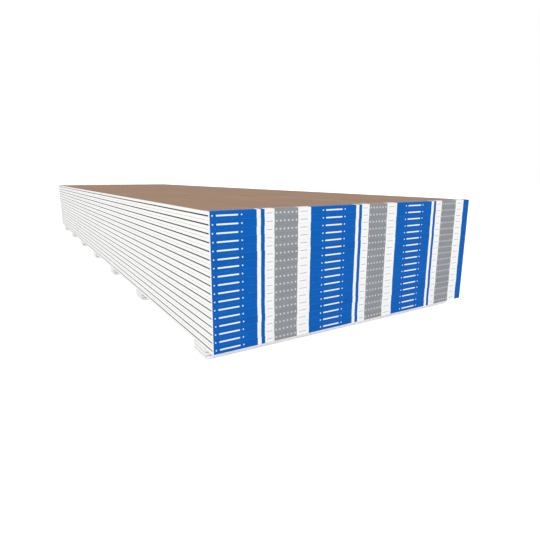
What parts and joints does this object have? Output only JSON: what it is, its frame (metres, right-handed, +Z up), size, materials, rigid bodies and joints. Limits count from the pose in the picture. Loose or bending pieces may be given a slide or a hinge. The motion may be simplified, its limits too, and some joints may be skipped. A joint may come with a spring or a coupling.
{
  "type": "stack of drywall sheets",
  "caption": "Stack of tapered-edge drywall sheets laid face to face in taped pairs, brown backs out, on risers of laminated gypsum strips with fork gaps between them.",
  "frame": {"origin": "on the floor, under the middle of the stack", "axes": "+X across the sheets, +Y along their length, +Z up through the stack"},
  "size_m": [1.2192, 4.2678, 0.4802],
  "materials": {
    "sheet_paper": "matt white face paper wrapped round the long edges, brown paper on the back",
    "end_tape": "smooth printed paper tape with upright blocks of blue and grey on white",
    "riser_strip": "sawn gypsum core between paper faces, matt and dusty"
  },
  "bodies": {
    "root": {"sheet_01": "sheet_paper", "sheet_02": "sheet_paper", "sheet_03": "sheet_paper", "sheet_04": "sheet_paper", "sheet_05": "sheet_paper", "sheet_06": "sheet_paper", "sheet_07": "sheet_paper", "sheet_08": "sheet_paper", "sheet_09": "sheet_paper", "sheet_10": "sheet_paper", "sheet_11": "sheet_paper", "sheet_12": "sheet_paper", "sheet_13": "sheet_paper", "sheet_14": "sheet_paper", "sheet_15": "sheet_paper", "sheet_16": "sheet_paper", "sheet_17": "sheet_paper", "sheet_18": "sheet_paper", "sheet_19": "sheet_paper", "sheet_20": "sheet_paper", "sheet_21": "sheet_paper", "sheet_22": "sheet_paper", "sheet_23": "sheet_paper", "sheet_24": "sheet_paper", "sheet_25": "sheet_paper", "sheet_26": "sheet_paper", "sheet_27": "sheet_paper", "sheet_28": "sheet_paper", "sheet_29": "sheet_paper", "sheet_30": "sheet_paper", "sheet_31": "sheet_paper", "sheet_32": "sheet_paper", "sheet_33": "sheet_paper", "sheet_34": "sheet_paper", "end_tapes_01": "end_tape", "end_tapes_02": "end_tape", "end_tapes_03": "end_tape", "end_tapes_04": "end_tape", "end_tapes_05": "end_tape", "end_tapes_06": "end_tape", "end_tapes_07": "end_tape", "end_tapes_08": "end_tape", "end_tapes_09": "end_tape", "end_tapes_10": "end_tape", "end_tapes_11": "end_tape", "end_tapes_12": "end_tape", "end_tapes_13": "end_tape", "end_tapes_14": "end_tape", "end_tapes_15": "end_tape", "end_tapes_16": "end_tape", "end_tapes_17": "end_tape", "riser_1": "riser_strip", "riser_2": "riser_strip", "riser_3": "riser_strip", "riser_4": "riser_strip", "riser_5": "riser_strip", "riser_6": "riser_strip", "riser_7": "riser_strip"}
  },
  "joints": []
}
